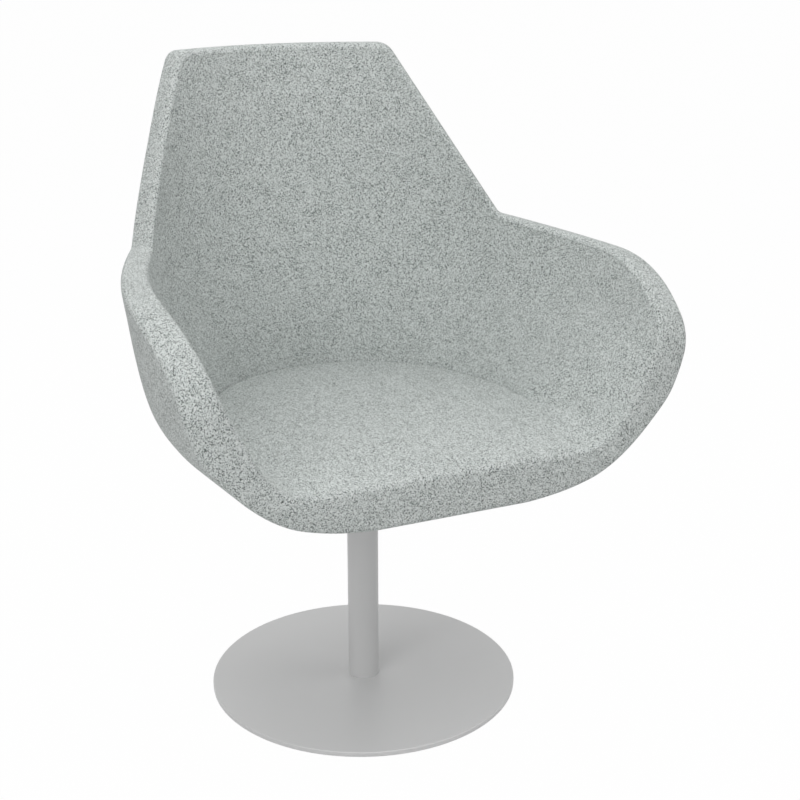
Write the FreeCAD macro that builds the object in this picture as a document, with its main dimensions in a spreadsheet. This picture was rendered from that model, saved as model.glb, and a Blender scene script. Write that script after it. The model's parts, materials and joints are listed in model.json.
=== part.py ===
import FreeCAD, Part
import Sketcher
import math
import os

# Pedestal swivel armchair, millimetres, +Z up. The origin is on the floor at the column's axis, and
# the sitter faces -Y. The bucket seat and all that is fixed to it turn on a spindle in the column.

vec = FreeCAD.Vector
doc = FreeCAD.newDocument("swivel_armchair")


# Driving dimensions

dims = {
    # pedestal, from the floor up
    "disc_radius": 225.0, "disc_thick": 7.5, "disc_bevel": 1.2, "pad_radius": 218.0, "pad_thick": 1.5,
    "column_radius": 22.5, "column_wall": 2.5, "column_height": 309.0, "plug_height": 30.0,
    "screw_count": 3.0, "screw_circle": 12.0, "screw_radius": 4.0, "screw_length": 26.0,
    "screw_head": 7.6, "screw_sink": 3.8, "screw_room": 0.2,
    # swivel
    "spindle_radius": 12.5, "play": 0.05, "bush_length": 36.0, "bush_flange": 2.0,
    "bush_flange_radius": 21.5, "lower_bush_low": 154.0, "race_thick": 2.0, "race_radius": 20.5,
    "race_bore": 13.0, "ball_radius": 2.5, "ball_circle": 17.0, "ball_count": 12.0,
    "cage_thick": 2.2, "cage_bore": 14.2, "cage_radius": 20.0, "end_washer_thick": 2.0,
    "end_washer_radius": 18.5, "clip_thick": 1.5, "clip_depth": 1.2, "clip_radius": 15.5,
    "spindle_tail": 6.0, "hub_radius": 28.0, "skirt_bore": 23.5, "skirt_drop": 16.0,
    "gusset_count": 4.0, "gusset_thick": 5.0, "gusset_reach": 76.0, "gusset_drop": 30.0,
    "gusset_toe": 6.0,
    # mounting plate and what it is bolted to
    "seat_underside": 371.0, "plate_radius": 95.0, "plate_thick": 5.0, "bolt_count": 4.0,
    "bolt_circle": 78.0, "bolt_radius": 4.0, "bolt_room": 0.5, "bolt_head": 6.5,
    "bolt_head_high": 5.3, "bolt_length": 24.0, "washer_radius": 9.0, "washer_thick": 1.6,
    "board_radius": 96.0, "board_thick": 10.0, "opening_radius": 97.0, "ring_bore": 96.0,
    "ring_radius": 112.0, "ring_thick": 2.0, "nut_radius": 5.6, "nut_flange": 10.0,
    "nut_flange_thick": 1.5,
    # build-up of the bucket's wall, from the outside in
    "cover_thick": 1.2, "outer_foam": 8.5, "shell_thick": 8.0, "glue": 0.3, "border_depth": 10.0,
    # trim line of the bucket
    "front": -289.0, "arm_bend_z": 545.0, "arm_bend": 70.0, "arm_bend_angle": 50.0,
    "arm_top": 656.0, "arm_ref_x": 317.0, "arm_fall": 0.2024, "arm_rake": 0.0714,
    "notch_x": 269.0, "notch_y": 91.0, "notch_z": 664.0, "corner_x": 166.0, "corner_y": 256.0,
    "corner_z": 892.0, "side_angle": 60.0, "side_fall": 0.25, "back_top": 905.0,
    "back_corner": 28.0,
    # solids that carry the trim line reach this far past the bucket
    "trim_low": 250.0, "trim_rear": 420.0, "trim_wide": 430.0, "trim_step": 60.0,
    "back_trim_low": 600.0, "block": 1000.0,
    # seat cushion
    "cushion_low": 391.0, "cushion_high": 434.0, "crown": 5.0, "cushion_gap": 0.4,
    # shared small sizes
    "edge_break": 1.0,
}

# Plan of the bucket at each height: reach of the back, radius of the back, half width, turn-in of
# the sides towards the front (degrees), and lean of the wall's normal from the level (degrees).
outer_levels = [
    (371.0, 120.0, 138.0, 135.0, 5.0, 80.0),
    (375.0, 170.0, 185.0, 178.0, 6.0, 70.0),
    (383.0, 207.0, 212.0, 214.0, 6.0, 60.0),
    (393.0, 228.0, 234.0, 241.0, 6.0, 50.0),
    (416.0, 250.0, 257.0, 273.0, 6.0, 40.0),
    (450.0, 266.0, 279.0, 303.0, 5.5, 32.0),
    (500.0, 279.0, 298.0, 334.0, 5.0, 22.0),
    (560.0, 288.0, 310.0, 350.0, 4.0, 10.0),
    (605.0, 292.0, 318.0, 355.0, 3.0, 6.0),
    (655.0, 295.0, 324.0, 360.0, 1.5, 6.0),
    (780.0, 311.0, 314.0, 366.0, 0.5, 8.0),
    (920.0, 336.0, 349.0, 380.0, 0.5, 8.0),
]
wall_levels = [
    (480.0, 227.0, 240.0, 258.0, 0.5, 26.0),
    (520.0, 235.0, 258.0, 277.0, 0.5, 24.0),
    (570.0, 244.0, 276.0, 300.0, 0.5, 16.0),
    (610.0, 251.0, 284.0, 310.0, 0.5, 13.0),
    (660.0, 260.0, 290.0, 321.0, 0.5, 8.0),
    (780.0, 281.0, 284.0, 332.0, 0.5, 9.0),
    (920.0, 306.0, 322.0, 346.0, 0.5, 9.0),
]
# The inside behind the cushion runs down to the shell's floor, and at the seat's front it blends.
inner_levels = [
    (376.0, 199.0, 199.0, 205.0, 0.5, 24.0),
    (434.0, 219.0, 219.0, 232.0, 0.5, 28.0),
] + wall_levels
blend_levels = [
    (431.0, 190.0, 190.0, 190.0, 0.5, 80.0),
    (434.0, 205.0, 205.0, 208.0, 0.5, 65.0),
    (442.0, 216.0, 216.0, 226.0, 0.5, 50.0),
    (454.0, 222.0, 227.0, 240.0, 0.5, 38.0),
    (466.0, 225.0, 234.0, 250.0, 0.5, 30.0),
] + wall_levels
side_turn = 65.0
front_reach = -330.0
# Side of the seat cushion: height and how far it stands in from the bucket's wall. Heights are above
# its underside, then above the seat's edge, then shares of the crown.
cushion_side = [(0.0, 3.0), (13.0, 0.8), (25.0, 0.0)]
cushion_brim = [(-9.0, 0.6), (-3.5, 3.0), (-0.4, 8.0)]
cushion_crown = [(0.25, 17.0), (0.5, 35.0), (0.8, 68.0), (1.0, 115.0)]

sheet = doc.addObject("Spreadsheet::Sheet", "dims")


def store(names, first_row):
    for row, (name, number) in enumerate(names.items(), first_row):
        sheet.set("A%d" % row, name)
        sheet.set("B%d" % row, "%.6g" % number)
        sheet.setAlias("B%d" % row, name)
    doc.recompute()


store(dims, 1)


def size(name):
    return float(sheet.get(name))


# Heights and radii that follow from them

disc_top = size("pad_thick") + size("disc_thick")
column_top = disc_top + size("column_height")
race_low = column_top + size("bush_flange")
ball_z = race_low + size("race_thick") + size("ball_radius")
race_high = ball_z + size("ball_radius") + size("play")
plate_low = size("seat_underside") - size("plate_thick")
clip_low = size("lower_bush_low") - size("end_washer_thick") - size("clip_thick") - 2 * size("play")
shell_offset = size("cover_thick") + size("outer_foam") + 2 * size("glue")
lining_offset = shell_offset + size("shell_thick") + size("glue")
follow_on = {
    "disc_top": disc_top, "column_top": column_top, "race_low": race_low, "ball_z": ball_z,
    "race_high": race_high, "hub_low": race_high + size("race_thick"), "plate_low": plate_low,
    "clip_low": clip_low, "tube_bore": size("column_radius") - size("column_wall"),
    "spindle_low": clip_low - size("spindle_tail"), "bush_bore": size("spindle_radius") + size("play"),
    "nut_low": size("seat_underside") + size("board_thick") + size("play"),
    "shell_floor": size("seat_underside") + lining_offset - size("glue"),
}
store(follow_on, len(dims) + 1)


# Helpers for turned, drilled and repeated pieces

def origin_feature(body, role):
    return [f for f in body.Origin.OriginFeatures if f.Role == role][0]


def new_sketch(body, name, role):
    sketch = body.newObject("Sketcher::SketchObject", name)
    sketch.AttachmentSupport = (origin_feature(body, role), "")
    sketch.MapMode = "FlatFace"
    return sketch


def value(text):
    # Reads an expression of sheet names, whole numbers, + and - the way the sheet does.
    total = 0.0
    sign = 1.0
    for word in text.split():
        if word in ("+", "-"):
            sign = 1.0 if word == "+" else -1.0
            continue
        factor = 1.0
        for piece in word.split("*"):
            factor *= size(piece[5:]) if piece.startswith("dims.") else float(piece)
        total += sign * factor
    return total


def draw_outline(sketch, outline):
    # A closed outline whose corners (across, height) are bound to the sheet.
    points = [vec(value(r), value(z), 0) for r, z in outline]
    count = len(points)
    for i in range(count):
        sketch.addGeometry(Part.LineSegment(points[i], points[(i + 1) % count]), False)
    for i in range(count):
        sketch.addConstraint(Sketcher.Constraint("Coincident", i, 2, (i + 1) % count, 1))
    for i, (r, z) in enumerate(outline):
        for axis, text in (("DistanceX", r), ("DistanceY", z)):
            number = sketch.addConstraint(Sketcher.Constraint(axis, -1, 1, i, 1, value(text)))
            sketch.setExpression("Constraints[%d]" % number, text)


def turned(label, outline):
    # A piece turned about Z: its half section is a list of corners (radius, height) as expressions.
    body = doc.addObject("PartDesign::Body", label)
    sketch = new_sketch(body, label + "_profile", "XZ_Plane")
    draw_outline(sketch, outline)
    turn = body.newObject("PartDesign::Revolution", label + "_turn")
    turn.Profile = sketch
    turn.ReferenceAxis = (origin_feature(body, "Z_Axis"), [""])
    turn.Angle = 360.0
    doc.recompute()
    return body


def drilled(body, name, radius, circle, count, first_angle=0.0):
    # Holes right through a turned piece, on a circle about Z.
    sketch = new_sketch(body, name + "_sketch", "XY_Plane")
    place = vec(value(circle), 0, 0)
    sketch.addGeometry(Part.Circle(place, vec(0, 0, 1), value(radius)), False)
    sketch.addConstraint(Sketcher.Constraint("PointOnObject", 0, 3, -1))
    for kind, text, args in (("DistanceX", circle, (-1, 1, 0, 3)), ("Radius", radius, (0,))):
        number = sketch.addConstraint(Sketcher.Constraint(kind, *args, value(text)))
        sketch.setExpression("Constraints[%d]" % number, text)
    hole = body.newObject("PartDesign::Pocket", name + "_pocket")
    hole.Profile = sketch
    hole.Type = 1
    hole.Midplane = True
    pattern = body.newObject("PartDesign::PolarPattern", name + "_pattern")
    pattern.Originals = [hole]
    pattern.Axis = (sketch, ["N_Axis"])
    pattern.Angle = 360.0
    pattern.setExpression("Occurrences", count)
    body.Tip = pattern
    body.Placement = FreeCAD.Placement(vec(0, 0, 0), FreeCAD.Rotation(vec(0, 0, 1), first_angle))
    doc.recompute()
    return body


def primitive(kind, name, sizes, low="0", out="0", angle=0.0):
    # A cylinder, cone or sphere standing at a height, and out from the axis at an angle.
    piece = doc.addObject("Part::" + kind, name)
    for prop, text in sizes.items():
        piece.setExpression(prop, text)
    turn = FreeCAD.Rotation(vec(0, 0, 1), angle)
    piece.Placement = FreeCAD.Placement(turn.multVec(vec(value(out), 0, 0)), turn)
    piece.setExpression("Placement.Base.x", "(%s) * cos(%.6g deg)" % (out, angle))
    piece.setExpression("Placement.Base.y", "(%s) * sin(%.6g deg)" % (out, angle))
    piece.setExpression("Placement.Base.z", low)
    return piece


def repeated(label, count_name, first_angle, build):
    # The same small piece on a circle, as one group of separate solids.
    count = int(size(count_name))
    pieces = [build("%s_%d" % (label, i + 1), first_angle + 360.0 * i / count) for i in range(count)]
    group = doc.addObject("Part::Compound", label)
    group.Links = pieces
    doc.recompute()
    return group


def joined(name, *pieces):
    whole = doc.addObject("Part::MultiFuse", name)
    whole.Shapes = list(pieces)
    return whole


def cut(label, base, tool):
    piece = doc.addObject("Part::Cut", label)
    piece.Base = base
    piece.Tool = tool
    doc.recompute()
    return piece


def shaped(label, shape):
    piece = doc.addObject("Part::Feature", label)
    piece.Shape = shape
    piece.Placement = FreeCAD.Placement()
    return piece


# Pedestal: disc, column and the screws that hold them

base_blank = turned("base_blank", [
    ("0", "dims.pad_thick"), ("dims.disc_radius - dims.disc_bevel", "dims.pad_thick"),
    ("dims.disc_radius", "dims.pad_thick + dims.disc_bevel"),
    ("dims.disc_radius", "dims.disc_top - dims.disc_bevel"),
    ("dims.disc_radius - dims.disc_bevel", "dims.disc_top"), ("0", "dims.disc_top")])


def screw_hole(name, angle):
    shank = primitive("Cylinder", name + "_shank", {
        "Radius": "dims.screw_radius + dims.screw_room", "Height": "dims.disc_top"},
        "0", "dims.screw_circle", angle)
    sink = primitive("Cone", name + "_sink", {
        "Radius1": "dims.screw_head + dims.screw_room", "Radius2": "dims.screw_radius + dims.screw_room",
        "Height": "dims.screw_sink"}, "dims.pad_thick", "dims.screw_circle", angle)
    return joined(name, shank, sink)


def base_screw(name, angle):
    head = primitive("Cone", name + "_head", {
        "Radius1": "dims.screw_head", "Radius2": "dims.screw_radius", "Height": "dims.screw_sink"},
        "dims.pad_thick", "dims.screw_circle", angle)
    shank = primitive("Cylinder", name + "_shank", {
        "Radius": "dims.screw_radius", "Height": "dims.screw_length"},
        "dims.pad_thick", "dims.screw_circle", angle)
    return joined(name, head, shank)


def tapped_hole(name, angle):
    return primitive("Cylinder", name, {
        "Radius": "dims.screw_radius", "Height": "dims.screw_length"},
        "dims.pad_thick", "dims.screw_circle", angle)


base_plate = cut("base_plate", base_blank, repeated("plate_holes", "screw_count", 90.0, screw_hole))
floor_pad = turned("floor_pad", [
    ("0", "0"), ("dims.pad_radius", "0"), ("dims.pad_radius", "dims.pad_thick"), ("0", "dims.pad_thick")])
column_tube = turned("column_tube", [
    ("dims.tube_bore", "dims.disc_top"), ("dims.column_radius", "dims.disc_top"),
    ("dims.column_radius", "dims.column_top"), ("dims.tube_bore", "dims.column_top")])
plug_blank = turned("plug_blank", [
    ("0", "dims.disc_top"), ("dims.tube_bore", "dims.disc_top"),
    ("dims.tube_bore", "dims.disc_top + dims.plug_height"), ("0", "dims.disc_top + dims.plug_height")])
column_plug = cut("column_plug", plug_blank, repeated("plug_holes", "screw_count", 90.0, tapped_hole))
base_screws = repeated("base_screws", "screw_count", 90.0, base_screw)


# Bushes and thrust bearing in the column's top

upper_bush = turned("upper_bush", [
    ("dims.bush_bore", "dims.column_top - dims.bush_length"),
    ("dims.tube_bore", "dims.column_top - dims.bush_length"), ("dims.tube_bore", "dims.column_top"),
    ("dims.bush_flange_radius", "dims.column_top"), ("dims.bush_flange_radius", "dims.race_low"),
    ("dims.bush_bore", "dims.race_low")])
lower_bush = turned("lower_bush", [
    ("dims.bush_bore", "dims.lower_bush_low"), ("dims.tube_bore", "dims.lower_bush_low"),
    ("dims.tube_bore", "dims.lower_bush_low + dims.bush_length"),
    ("dims.bush_bore", "dims.lower_bush_low + dims.bush_length")])


def washer(label, bore, radius, low, thick):
    return turned(label, [(bore, low), (radius, low), (radius, low + " + " + thick),
                          (bore, low + " + " + thick)])


thrust_race_lower = washer("thrust_race_lower", "dims.race_bore", "dims.race_radius", "dims.race_low",
                           "dims.race_thick")
thrust_race_upper = washer("thrust_race_upper", "dims.race_bore", "dims.race_radius", "dims.race_high",
                           "dims.race_thick")


def ball(name, angle):
    return primitive("Sphere", name, {"Radius": "dims.ball_radius"}, "dims.ball_z", "dims.ball_circle",
                     angle)


def ball_pocket(name, angle):
    return primitive("Cylinder", name, {
        "Radius": "dims.ball_radius + 2 * dims.play", "Height": "2 * dims.ball_radius"},
        "dims.ball_z - dims.ball_radius", "dims.ball_circle", angle)


thrust_balls = repeated("thrust_balls", "ball_count", 0.0, ball)
cage_blank = washer("cage_blank", "dims.cage_bore", "dims.cage_radius",
                    "dims.ball_z - 0.5*dims.cage_thick", "dims.cage_thick")
ball_cage = cut("ball_cage", cage_blank, repeated("cage_pockets", "ball_count", 0.0, ball_pocket))


# Spindle, hub and plate that turn with the seat

spindle = turned("spindle", [
    ("0", "dims.spindle_low"), ("dims.spindle_radius - dims.edge_break", "dims.spindle_low"),
    ("dims.spindle_radius", "dims.spindle_low + dims.edge_break"),
    ("dims.spindle_radius", "dims.clip_low"),
    ("dims.spindle_radius - dims.clip_depth", "dims.clip_low"),
    ("dims.spindle_radius - dims.clip_depth", "dims.clip_low + dims.clip_thick"),
    ("dims.spindle_radius", "dims.clip_low + dims.clip_thick"),
    ("dims.spindle_radius", "dims.seat_underside"), ("0", "dims.seat_underside")])
spindle_clip = washer("spindle_clip", "dims.spindle_radius - dims.clip_depth", "dims.clip_radius",
                      "dims.clip_low", "dims.clip_thick")
end_washer = washer("end_washer", "dims.bush_bore", "dims.end_washer_radius",
                    "dims.clip_low + dims.clip_thick", "dims.end_washer_thick")
swivel_hub = turned("swivel_hub", [
    ("dims.spindle_radius", "dims.hub_low"), ("dims.skirt_bore", "dims.hub_low"),
    ("dims.skirt_bore", "dims.hub_low - dims.skirt_drop"),
    ("dims.hub_radius - dims.edge_break", "dims.hub_low - dims.skirt_drop"),
    ("dims.hub_radius", "dims.hub_low - dims.skirt_drop + dims.edge_break"),
    ("dims.hub_radius", "dims.plate_low"),
    ("dims.spindle_radius", "dims.plate_low")])
mounting_plate = turned("mounting_plate", [
    ("dims.spindle_radius", "dims.plate_low"),
    ("dims.plate_radius - dims.edge_break", "dims.plate_low"),
    ("dims.plate_radius", "dims.plate_low + dims.edge_break"),
    ("dims.plate_radius", "dims.seat_underside"), ("dims.spindle_radius", "dims.seat_underside")])
drilled(mounting_plate, "bolt_holes", "dims.bolt_radius + dims.bolt_room", "dims.bolt_circle",
        "dims.bolt_count", 45.0)


def gusset(name, angle):
    # A welded rib: full depth at the hub, down to a toe at the plate's edge.
    body = doc.addObject("PartDesign::Body", name)
    sketch = new_sketch(body, name + "_profile", "XZ_Plane")
    inside = "dims.hub_radius + dims.glue"
    outline = [(inside, "dims.plate_low"), ("dims.gusset_reach", "dims.plate_low"),
               ("dims.gusset_reach", "dims.plate_low - dims.gusset_toe"),
               (inside, "dims.plate_low - dims.gusset_drop")]
    draw_outline(sketch, outline)
    pad = body.newObject("PartDesign::Pad", name + "_pad")
    pad.Profile = sketch
    pad.setExpression("Length", "dims.gusset_thick")
    pad.Midplane = True
    body.Placement = FreeCAD.Placement(vec(0, 0, 0), FreeCAD.Rotation(vec(0, 0, 1), angle))
    doc.recompute()
    return body


hub_gussets = repeated("hub_gussets", "gusset_count", 0.0, gusset)


def plate_bolt(name, angle):
    head = doc.addObject("Part::Prism", name + "_head")
    head.Polygon = 6
    head.setExpression("Circumradius", "dims.bolt_head * 1.1547")
    head.setExpression("Height", "dims.bolt_head_high")
    turn = FreeCAD.Rotation(vec(0, 0, 1), angle)
    spot = turn.multVec(vec(size("bolt_circle"), 0, 0))
    low = size("plate_low") - size("washer_thick") - size("bolt_head_high")
    head.Placement = FreeCAD.Placement(vec(spot.x, spot.y, low), turn)
    shank = primitive("Cylinder", name + "_shank", {
        "Radius": "dims.bolt_radius", "Height": "dims.bolt_length"},
        "dims.plate_low - dims.washer_thick", "dims.bolt_circle", angle)
    return joined(name, head, shank)


def plate_washer(name, angle):
    outside = primitive("Cylinder", name + "_outside", {
        "Radius": "dims.washer_radius", "Height": "dims.washer_thick"},
        "dims.plate_low - dims.washer_thick", "dims.bolt_circle", angle)
    hole = primitive("Cylinder", name + "_hole", {
        "Radius": "dims.bolt_radius + dims.play", "Height": "dims.washer_thick"},
        "dims.plate_low - dims.washer_thick", "dims.bolt_circle", angle)
    return cut(name, outside, hole)


def tee_nut(name, angle):
    barrel = primitive("Cylinder", name + "_barrel", {
        "Radius": "dims.nut_radius", "Height": "dims.shell_floor - dims.nut_low"},
        "dims.nut_low", "dims.bolt_circle", angle)
    flange = primitive("Cylinder", name + "_flange", {
        "Radius": "dims.nut_flange", "Height": "dims.nut_flange_thick"},
        "dims.shell_floor", "dims.bolt_circle", angle)
    thread = primitive("Cylinder", name + "_thread", {
        "Radius": "dims.bolt_radius + dims.play", "Height": "dims.bolt_length"},
        "dims.nut_low", "dims.bolt_circle", angle)
    return cut(name, joined(name + "_body", barrel, flange), thread)


plate_bolts = repeated("plate_bolts", "bolt_count", 45.0, plate_bolt)
plate_washers = repeated("plate_washers", "bolt_count", 45.0, plate_washer)
tee_nuts = repeated("tee_nuts", "bolt_count", 45.0, tee_nut)
spacer_board = turned("spacer_board", [
    ("0", "dims.seat_underside"), ("dims.board_radius - dims.glue", "dims.seat_underside"),
    ("dims.board_radius - dims.glue", "dims.seat_underside + dims.board_thick"),
    ("0", "dims.seat_underside + dims.board_thick")])
drilled(spacer_board, "board_holes", "dims.bolt_radius + dims.bolt_room", "dims.bolt_circle",
        "dims.bolt_count", 45.0)
trim_ring = turned("trim_ring", [
    ("dims.ring_bore", "dims.seat_underside - dims.ring_thick"),
    ("dims.ring_radius - dims.edge_break", "dims.seat_underside - dims.ring_thick"),
    ("dims.ring_radius", "dims.seat_underside - dims.ring_thick + dims.edge_break"),
    ("dims.ring_radius", "dims.seat_underside"), ("dims.ring_bore", "dims.seat_underside")])


# Surfaces of the bucket: lofts through level plans of arcs and lines

def plan(level, grow, front=front_reach):
    # One level of a bucket surface, moved outwards along the wall's normal by grow.
    height, reach, back, half, turn_in, lean = level
    side = grow * math.cos(math.radians(lean))
    reach, back, half = reach + side, back + side, half + side
    height -= grow * math.sin(math.radians(lean))
    turn = math.radians(side_turn)
    last = math.radians(90.0 + turn_in)
    flank = (half - back * math.sin(turn)) / (1.0 - math.sin(turn))
    back_y = reach - back
    flank_x = (back - flank) * math.sin(turn)
    flank_y = back_y + (back - flank) * math.cos(turn)

    def on_arc(x, y, radius, angle, mirror):
        return vec(mirror * (x + radius * math.sin(angle)), y + radius * math.cos(angle), height)

    ends = {}
    for mirror in (1, -1):
        start = on_arc(0, back_y, back, turn, mirror)
        middle = on_arc(flank_x, flank_y, flank, 0.5 * (turn + last), mirror)
        end = on_arc(flank_x, flank_y, flank, last, mirror)
        run = (end.y - front) / math.sin(last)
        corner = vec(end.x + mirror * run * math.cos(last), front, height)
        ends[mirror] = (start, middle, end, corner)
    right, left = ends[1], ends[-1]
    curves = [Part.LineSegment(right[3], right[2]), Part.Arc(right[2], right[1], right[0]),
              Part.Arc(right[0], vec(0, reach, height), left[0]), Part.Arc(left[0], left[1], left[2]),
              Part.LineSegment(left[2], left[3]), Part.LineSegment(left[3], right[3])]
    return Part.Wire([curve.toShape() for curve in curves])


def bowl(levels, grow):
    return Part.makeLoft([plan(level, grow) for level in levels], True, True)


# Trim line: arms that fall outwards, a front in one plane, and a back with slanted sides

def block(y, z):
    # All that lies behind y and above z.
    side = size("block")
    return Part.makeBox(side, side, side, vec(-0.5 * side, y, z))


def arm_trim(inset):
    bend = size("arm_bend") - inset
    angle = math.radians(size("arm_bend_angle"))
    front = size("front")
    first = vec(0, front + size("arm_bend"), size("arm_bend_z"))
    knee_z = first.z + size("arm_bend") * math.sin(angle)
    long_bend = (size("arm_top") - knee_z) / (1.0 - math.sin(angle))
    shift = long_bend - size("arm_bend")
    second = vec(0, first.y + shift * math.cos(angle), first.z - shift * math.sin(angle))
    long_bend -= inset

    def point(centre, radius, turn):
        return vec(0, centre.y - radius * math.cos(turn), centre.z + radius * math.sin(turn))

    low, rear = size("trim_low"), size("trim_rear")
    start = point(first, bend, 0)
    knee = point(first, bend, angle)
    crest = point(second, long_bend, math.pi / 2)
    profile = Part.Wire([
        Part.LineSegment(vec(0, start.y, low), start).toShape(),
        Part.Arc(start, point(first, bend, 0.5 * angle), knee).toShape(),
        Part.Arc(knee, point(second, long_bend, 0.5 * (angle + math.pi / 2)), crest).toShape(),
        Part.LineSegment(crest, vec(0, rear, crest.z)).toShape(),
        Part.LineSegment(vec(0, rear, crest.z), vec(0, rear, low)).toShape(),
        Part.LineSegment(vec(0, rear, low), vec(0, start.y, low)).toShape()])
    slope = vec(1, size("arm_rake"), -size("arm_fall"))
    profile.translate(vec(0, slope.y, slope.z) * -size("arm_ref_x"))
    right = Part.Face(profile).extrude(slope * size("trim_wide"))
    both = right.fuse(right.mirror(vec(0, 0, 0), vec(1, 0, 0)))
    return both.common(block(front + inset, 0))


def back_trim(inset):
    notch = vec(size("notch_x"), size("notch_y"), size("notch_z"))
    corner = vec(size("corner_x"), size("corner_y"), size("corner_z"))
    climb = corner - notch
    angle = math.radians(90.0 - size("side_angle"))
    across = vec(math.sin(angle), math.cos(angle), -size("side_fall"))
    normal = climb.cross(across)
    normal.normalize()
    if normal.x < 0:
        normal = normal * -1.0
    notch = notch - normal * inset
    trace = across + climb * (size("side_fall") / climb.z)
    step, rear = size("trim_step"), size("trim_rear")
    high = size("back_top") - inset

    def level_quad(z):
        edge = notch + climb * ((z - notch.z) / climb.z)
        near = edge - trace * (step / trace.y)
        far = edge + trace * ((rear - edge.y) / trace.y)
        mirror = [vec(-p.x, p.y, p.z) for p in (far, near)]
        return Part.makePolygon([near, far] + mirror + [near])

    wedge = Part.makeLoft([level_quad(size("back_trim_low")), level_quad(high)], True, True)
    tops = [e for e in wedge.Edges
            if all(abs(v.Z - high) < 0.01 for v in e.Vertexes)
            and abs(e.Vertexes[0].Y - e.Vertexes[1].Y) > 1.0]
    return wedge.makeFillet(size("back_corner") - inset, tops)


def trim(inset):
    return arm_trim(inset).fuse(back_trim(inset))


def drill(shape, radius, circle=0.0, count=1, first_angle=0.0):
    # Holes through the bucket's floor only.
    low = size("seat_underside") - size("board_thick")
    for i in range(count):
        angle = math.radians(first_angle + 360.0 * i / count)
        spot = vec(circle * math.cos(angle), circle * math.sin(angle), low)
        shape = shape.cut(Part.makeCylinder(radius, size("cushion_high") - low, spot))
    return shape


# Bucket: fabric, foam and a moulded shell in layers, held by a border along the whole rim

keep = trim(0.0)
keep_in = trim(size("border_depth"))
keep_layers = trim(size("border_depth") + size("glue"))
opening = size("opening_radius")
bolt_hole = size("nut_radius") + 2 * size("play")


def outer_layer(start, end):
    # A layer of the wall between two depths measured from the outside.
    return bowl(outer_levels, -start).cut(bowl(outer_levels, -end)).common(keep_layers)


cover = size("cover_thick")
glue = size("glue")
outside_cover = shaped("outside_cover", drill(outer_layer(0.0, cover), opening))
outer_foam = shaped("outer_foam", drill(
    outer_layer(cover + glue, cover + glue + size("outer_foam")), opening))
structural_shell = shaped("structural_shell", drill(
    outer_layer(shell_offset, lining_offset - glue), bolt_hole, size("bolt_circle"),
    int(size("bolt_count")), 45.0))
lining = bowl(outer_levels, -lining_offset)
inner_foam = shaped("inner_foam", lining.cut(bowl(inner_levels, cover + glue)).common(keep_layers))
inside_cover = shaped("inside_cover", bowl(inner_levels, cover).cut(bowl(inner_levels, 0.0))
                      .common(lining).common(keep_layers))
border = shaped("border", bowl(outer_levels, 0.0).cut(bowl(blend_levels, 0.0))
                .common(keep.cut(keep_in)))


# Seat cushion: drawn in at the bottom, crowned on top

def cushion(shrink):
    low, seat = size("cushion_low"), size("cushion_high")
    base, brim = inner_levels[0], inner_levels[1]
    front = size("front") + size("border_depth") + glue
    wires = []

    def add_level(height, inset, drop):
        share = (min(height, seat) - base[0]) / (brim[0] - base[0])
        level = [a + share * (b - a) for a, b in zip(base, brim)]
        level[0], level[5] = height - drop, 0.0
        inset += shrink
        wires.append(plan(level, -inset - size("cushion_gap"), front + inset))

    for rise, inset in cushion_side:
        add_level(low + rise, inset, 0.0)
    for rise, inset in cushion_brim:
        add_level(seat + rise, inset, shrink if inset > cushion_brim[0][1] else 0.0)
    for rise, inset in cushion_crown:
        add_level(seat + rise * size("crown"), inset, shrink)
    return Part.makeLoft(wires, True, True)


seat_room = lining.common(block(-size("trim_rear"), size("cushion_low")))
seat_cover = shaped("seat_cover", cushion(0.0).cut(cushion(cover)).common(seat_room))
seat_foam = shaped("seat_foam", cushion(cover + glue).common(bowl(outer_levels, -lining_offset - glue)))


# Check and write every sub-part

doc.recompute()
sub_parts = [
    base_plate, floor_pad, column_tube, column_plug, base_screws, upper_bush, lower_bush,
    thrust_race_lower, ball_cage, thrust_balls, thrust_race_upper, spindle, spindle_clip, end_washer,
    swivel_hub, hub_gussets, mounting_plate, plate_bolts, plate_washers, tee_nuts, spacer_board,
    trim_ring, structural_shell, outer_foam, outside_cover, inner_foam, inside_cover, border,
    seat_foam, seat_cover]

failed = [o.Label for o in doc.Objects if "Invalid" in o.State or "Error" in o.State]
failed += [p.Label for p in sub_parts if p.Shape.isNull() or not p.Shape.isValid()]
if failed:
    raise RuntimeError("failed: " + ", ".join(failed))

os.makedirs("parts", exist_ok=True)
for part in sub_parts:
    part.Shape.exportStep("parts/%s.step" % part.Label)
    box = part.Shape.BoundBox
    print("%-20s solids %2d volume %11.1f  x %7.1f %7.1f  y %7.1f %7.1f  z %7.1f %7.1f" % (
        part.Label, len(part.Shape.Solids), part.Shape.Volume, box.XMin, box.XMax, box.YMin, box.YMax,
        box.ZMin, box.ZMax))
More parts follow.
